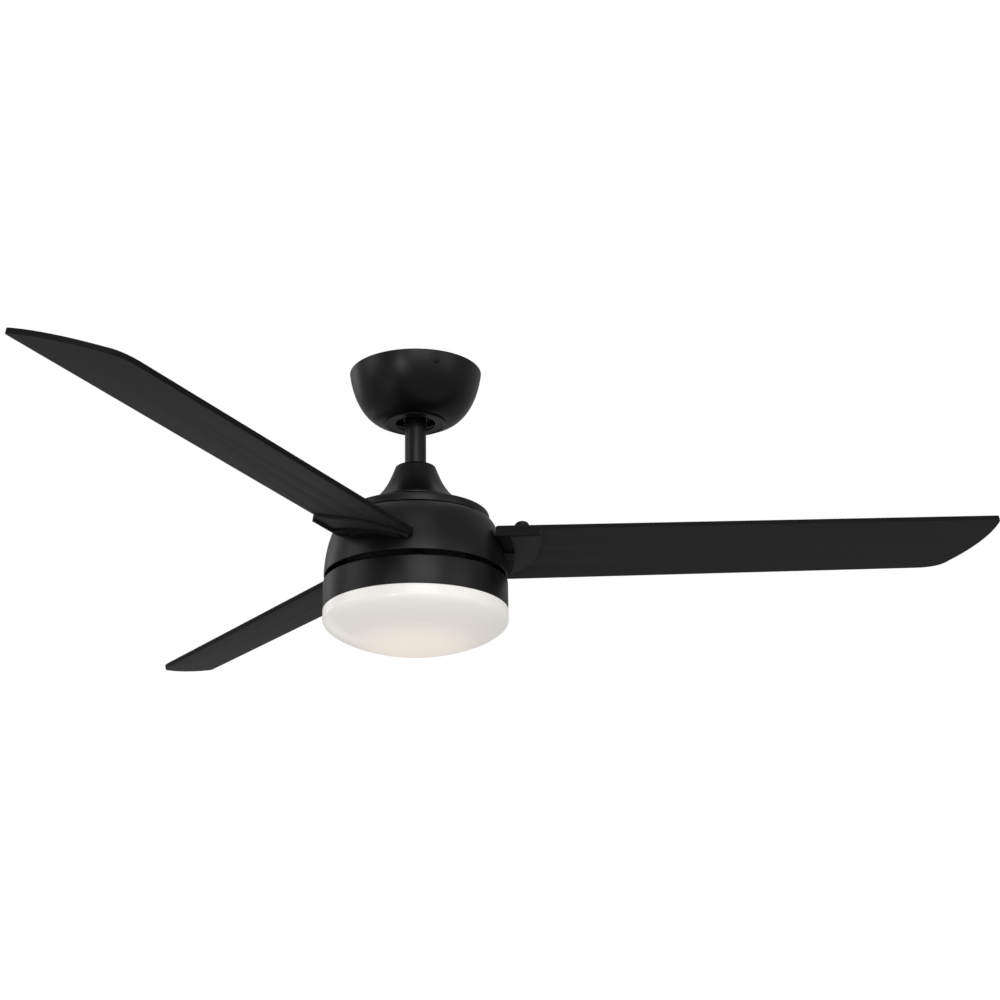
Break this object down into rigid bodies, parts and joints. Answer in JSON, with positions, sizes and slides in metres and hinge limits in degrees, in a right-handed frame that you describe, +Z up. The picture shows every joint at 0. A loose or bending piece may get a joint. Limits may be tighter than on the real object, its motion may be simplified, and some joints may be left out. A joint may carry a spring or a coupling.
{
  "type": "ceiling fan with light",
  "caption": "Ceiling fan with a bowl canopy, short downrod, domed hub, pitched flat blades and a shallow opal glass light underneath.",
  "frame": {"origin": "centre of the hanger bracket's top face, on the ceiling plane", "axes": "+Z up, out of the ceiling face; blade 1 points along +X, and +Y completes the right-handed frame"},
  "size_m": [1.1069, 1.2406, 0.3655],
  "materials": {
    "housing_black": "satin black powder coat",
    "blade_black": "matte black painted plywood",
    "screw_black": "black screw heads",
    "opal_glass": "satin opal white",
    "bare_steel": "zinc plated",
    "core_steel": "dark steel",
    "copper_winding": "enamelled copper wire",
    "magnet": "ferrite",
    "white_plastic": "moulded white plastic",
    "wire_insulation": "insulated lead",
    "wire_nut_orange": "moulded",
    "led_board": "white board with light chips"
  },
  "bodies": {
    "ceiling_mount": {"hanger_bracket": "bare_steel", "bracket_screw_1": "bare_steel", "bracket_screw_2": "bare_steel", "canopy": "housing_black", "canopy_ring": "housing_black", "canopy_screw_1": "screw_black", "canopy_screw_2": "screw_black", "receiver_box": "white_plastic", "supply_lead": "wire_insulation", "wire_nut": "wire_nut_orange"},
    "fan_body": {"hanger_ball": "bare_steel", "ball_pin": "bare_steel", "downrod": "housing_black", "motor_yoke": "core_steel", "clevis_pin": "bare_steel", "retaining_clip": "bare_steel", "yoke_set_screw": "bare_steel", "coupling_cover": "housing_black", "motor_cap": "housing_black", "motor_shaft": "bare_steel", "stator_core": "core_steel", "winding_upper": "copper_winding", "winding_lower": "copper_winding", "bearing_inner_upper": "bare_steel", "bearing_inner_lower": "bare_steel", "light_plate": "core_steel", "shaft_nut": "bare_steel", "light_pan": "housing_black", "pan_screw_1": "bare_steel", "pan_screw_2": "bare_steel", "pan_screw_3": "bare_steel", "led_driver": "white_plastic", "led_tray": "white_plastic", "led_board": "led_board", "lamp_lead": "wire_insulation"},
    "rotor": {"rotor_upper": "core_steel", "rotor_lower": "core_steel", "magnet_ring": "magnet", "bearing_outer_upper": "bare_steel", "bearing_outer_lower": "bare_steel", "hub_dome": "housing_black", "blade_bracket_1": "housing_black", "blade_bracket_2": "housing_black", "blade_bracket_3": "housing_black", "blade_1": "blade_black", "blade_2": "blade_black", "blade_3": "blade_black", "blade_screw_1_1": "screw_black", "blade_screw_1_2": "screw_black", "blade_screw_1_3": "screw_black", "blade_screw_2_1": "screw_black", "blade_screw_2_2": "screw_black", "blade_screw_2_3": "screw_black", "blade_screw_3_1": "screw_black", "blade_screw_3_2": "screw_black", "blade_screw_3_3": "screw_black"},
    "glass": {"glass_bowl": "opal_glass"}
  },
  "joints": [
    {"name": "ball_swing", "type": "hinge", "parent": "ceiling_mount", "child": "fan_body", "pos_m": [0, 0, -0.046], "axis": [0, 1, 0], "range_deg": [-12, 12]},
    {"name": "rotor_spin", "type": "hinge", "parent": "fan_body", "child": "rotor", "pos_m": [0, 0, -0.24], "axis": [0, 0, 1], "continuous": true},
    {"name": "glass_twist", "type": "hinge", "parent": "fan_body", "child": "glass", "pos_m": [0, 0, -0.31], "axis": [0, 0, 1], "range_deg": [0, 25]}
  ]
}
